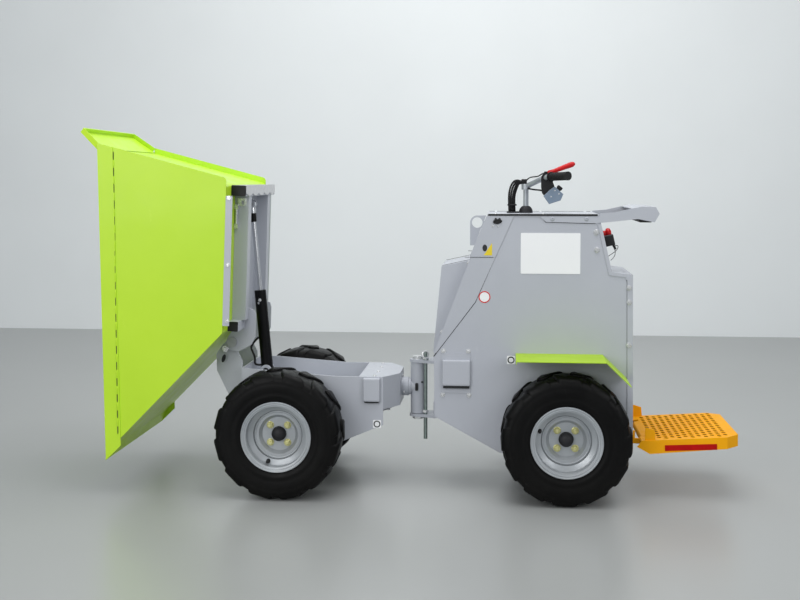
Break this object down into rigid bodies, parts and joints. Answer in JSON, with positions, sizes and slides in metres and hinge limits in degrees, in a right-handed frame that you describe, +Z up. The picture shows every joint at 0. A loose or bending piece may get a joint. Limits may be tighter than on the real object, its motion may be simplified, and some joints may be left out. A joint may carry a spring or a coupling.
{
  "type": "articulated site dumper",
  "caption": "Compact articulated site dumper with a tipped open skip, powered axles, sheet-metal rear body, handlebar and folding rider step.",
  "frame": {"origin": "ground level under the middle of the machine's length and width", "axes": "+X to the rear of the machine, +Z up, so the left side faces -Y"},
  "size_m": [2.6711, 0.84, 1.5011],
  "materials": {
    "paint_grey": "satin",
    "paint_lime": "gloss",
    "tyre_rubber": "matte",
    "rim_silver": "satin",
    "zinc_steel": "satin",
    "axle_black": "satin",
    "paint_black": "gloss",
    "chrome_rod": "polished",
    "black_plastic": "matte",
    "black_rubber": "matte",
    "paint_yellow": "satin",
    "red_metal": "gloss",
    "box_blue_grey": "satin",
    "red_plastic": "gloss",
    "label_white": "gloss",
    "battery_case": "matte"
  },
  "bodies": {
    "front_frame": {"front_chassis": "paint_grey", "front_axle": "axle_black", "front_box_cover": "paint_grey"},
    "roll_pivot": {"pivot_block": "paint_grey"},
    "rear_body": {"pivot_bracket": "paint_grey", "kingpin": "zinc_steel", "lock_pin": "zinc_steel", "body_sides": "paint_grey", "sloping_bulkhead": "paint_grey", "top_cover": "paint_grey", "console_panel": "paint_grey", "rear_cover": "paint_grey", "belly_plate": "paint_grey", "nose_cover": "paint_grey", "upper_hood": "paint_grey", "lifting_eye": "paint_grey", "battery_pack": "battery_case", "mudguards": "paint_lime", "side_box_cover": "paint_grey", "label_plates": "label_white", "guard_hoop": "paint_grey", "guard_pad": "black_rubber", "stop_button": "red_plastic", "stop_housing": "black_plastic", "post_bearing": "axle_black", "control_loom": "black_rubber", "rear_axle": "axle_black", "step_brackets": "paint_yellow"},
    "skip": {"skip_shell": "paint_lime", "skip_rim_bands": "paint_lime", "spill_guard": "paint_lime", "tip_frame": "paint_grey", "tube_end_caps": "black_plastic", "tip_pins": "zinc_steel", "floor_angles": "paint_grey", "skip_latch": "zinc_steel"},
    "ram_barrel": {"ram_barrel": "paint_black"},
    "ram_rod": {"ram_rod": "chrome_rod"},
    "handlebar": {"handlebar": "rim_silver", "hand_grips": "black_rubber", "lever_clamp": "black_plastic", "brake_lever": "red_metal", "control_box": "box_blue_grey"},
    "step": {"step_platform": "paint_yellow"},
    "wheel_front_left": {"tyre_front_left": "tyre_rubber", "rim_front_left": "rim_silver", "hub_front_left": "axle_black"},
    "wheel_front_right": {"tyre_front_right": "tyre_rubber", "rim_front_right": "rim_silver", "hub_front_right": "axle_black"},
    "wheel_rear_left": {"tyre_rear_left": "tyre_rubber", "rim_rear_left": "rim_silver", "hub_rear_left": "axle_black"},
    "wheel_rear_right": {"tyre_rear_right": "tyre_rubber", "rim_rear_right": "rim_silver", "hub_rear_right": "axle_black"}
  },
  "joints": [
    {"name": "frame_roll", "type": "hinge", "parent": "front_frame", "child": "roll_pivot", "pos_m": [-0.0445, 0, 0.401], "axis": [1, 0, 0], "range_deg": [-8, 8]},
    {"name": "steering_pivot", "type": "hinge", "parent": "roll_pivot", "child": "rear_body", "pos_m": [0.0255, 0, 0.4], "axis": [0, 0, 1], "range_deg": [-25, 25]},
    {"name": "skip_tip", "type": "hinge", "parent": "front_frame", "child": "skip", "pos_m": [-0.7495, 0, 0.605], "axis": [0, 1, 0], "range_deg": [0, 88]},
    {"name": "ram_swing", "type": "hinge", "parent": "front_frame", "child": "ram_barrel", "pos_m": [-0.6325, 0, 0.465], "axis": [0, 1, 0], "range_deg": [0, 82.11]},
    {"name": "ram_slide", "type": "slide", "parent": "ram_barrel", "child": "ram_rod", "axis": [-0.0887, 0, 0.9961], "range_m": [-0.2463, 0]},
    {"name": "handlebar_turn", "type": "hinge", "parent": "rear_body", "child": "handlebar", "pos_m": [0.4825, 0, 1.2], "axis": [0, 0, 1], "range_deg": [-30, 30]},
    {"name": "step_fold", "type": "hinge", "parent": "rear_body", "child": "step", "pos_m": [0.9665, 0, 0.222], "axis": [0, -1, 0], "range_deg": [0, 90]},
    {"name": "wheel_spin_front_left", "type": "hinge", "parent": "front_frame", "child": "wheel_front_left", "pos_m": [-0.5145, -0.32, 0.26], "axis": [0, 1, 0], "continuous": true},
    {"name": "wheel_spin_front_right", "type": "hinge", "parent": "front_frame", "child": "wheel_front_right", "pos_m": [-0.5145, 0.32, 0.26], "axis": [0, 1, 0], "continuous": true},
    {"name": "wheel_spin_rear_left", "type": "hinge", "parent": "rear_body", "child": "wheel_rear_left", "pos_m": [0.6405, -0.32, 0.26], "axis": [0, 1, 0], "continuous": true},
    {"name": "wheel_spin_rear_right", "type": "hinge", "parent": "rear_body", "child": "wheel_rear_right", "pos_m": [0.6405, 0.32, 0.26], "axis": [0, 1, 0], "continuous": true}
  ],
  "couplings": [
    {"joint": "ram_swing", "follows": "skip_tip", "ratio": 0.93247},
    {"joint": "ram_slide", "follows": "skip_tip", "m_per_rad": -0.16023}
  ]
}
